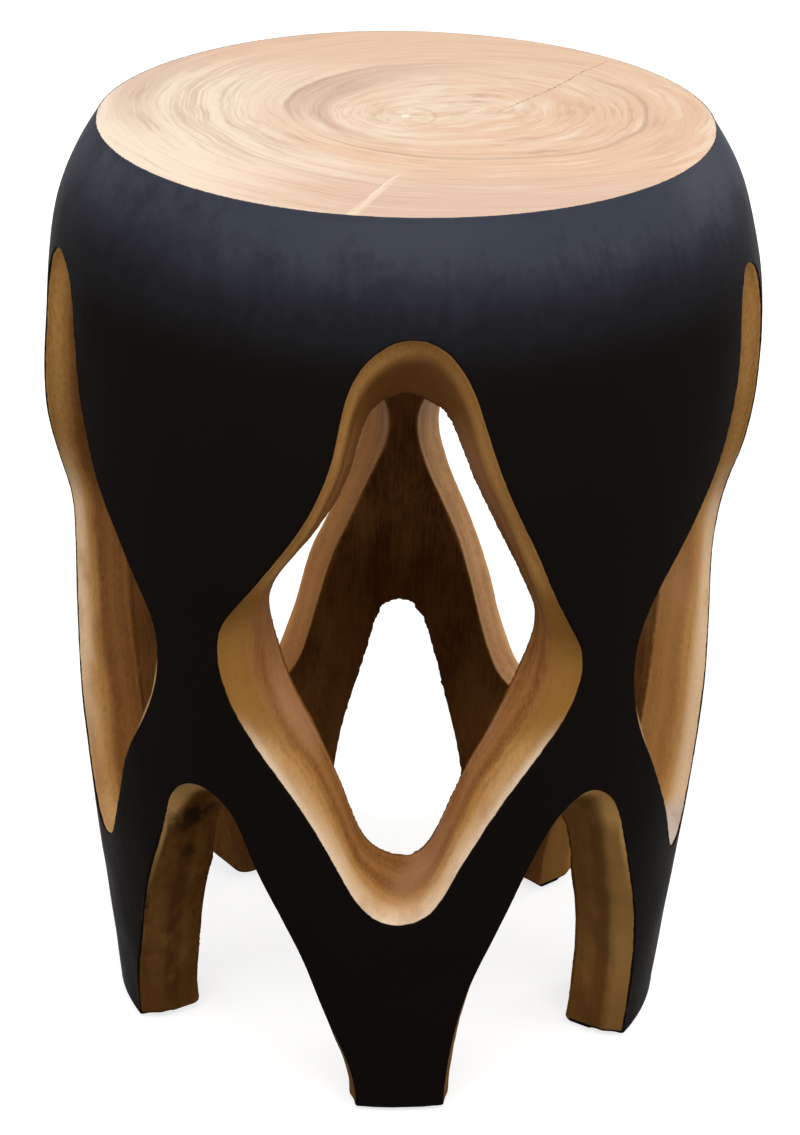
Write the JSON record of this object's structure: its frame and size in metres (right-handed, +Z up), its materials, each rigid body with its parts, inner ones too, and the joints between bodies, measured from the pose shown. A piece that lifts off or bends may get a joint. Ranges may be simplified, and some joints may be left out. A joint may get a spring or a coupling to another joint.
{
  "type": "side table",
  "caption": "Round drum-shaped side table carved from one hollowed log, with diamond windows through its wall and arches between its legs.",
  "frame": {"origin": "on the floor, on the upright axis that the log is turned about, under the middle of the top", "axes": "+Z up from the floor to the top, -Y out of the front window, +X to the right as the front is looked at"},
  "size_m": [0.3768, 0.374, 0.503],
  "materials": {
    "carved_wood": "bare wood, oiled, with end grain on the top and tool-smoothed cuts",
    "black_coat": "satin black stain and lacquer",
    "resin": "dark filled check, sanded flush",
    "glide": "dark brown moulded plastic",
    "nail": "zinc plated"
  },
  "bodies": {
    "root": {"carved_log": "carved_wood", "black_coat": "black_coat", "top_check_fill_long": "resin", "top_check_fill_short": "resin", "foot_glide_1": "glide", "foot_glide_2": "glide", "foot_glide_3": "glide", "foot_glide_4": "glide", "foot_glide_5": "glide", "glide_nail_1": "nail", "glide_nail_2": "nail", "glide_nail_3": "nail", "glide_nail_4": "nail", "glide_nail_5": "nail"}
  },
  "joints": []
}
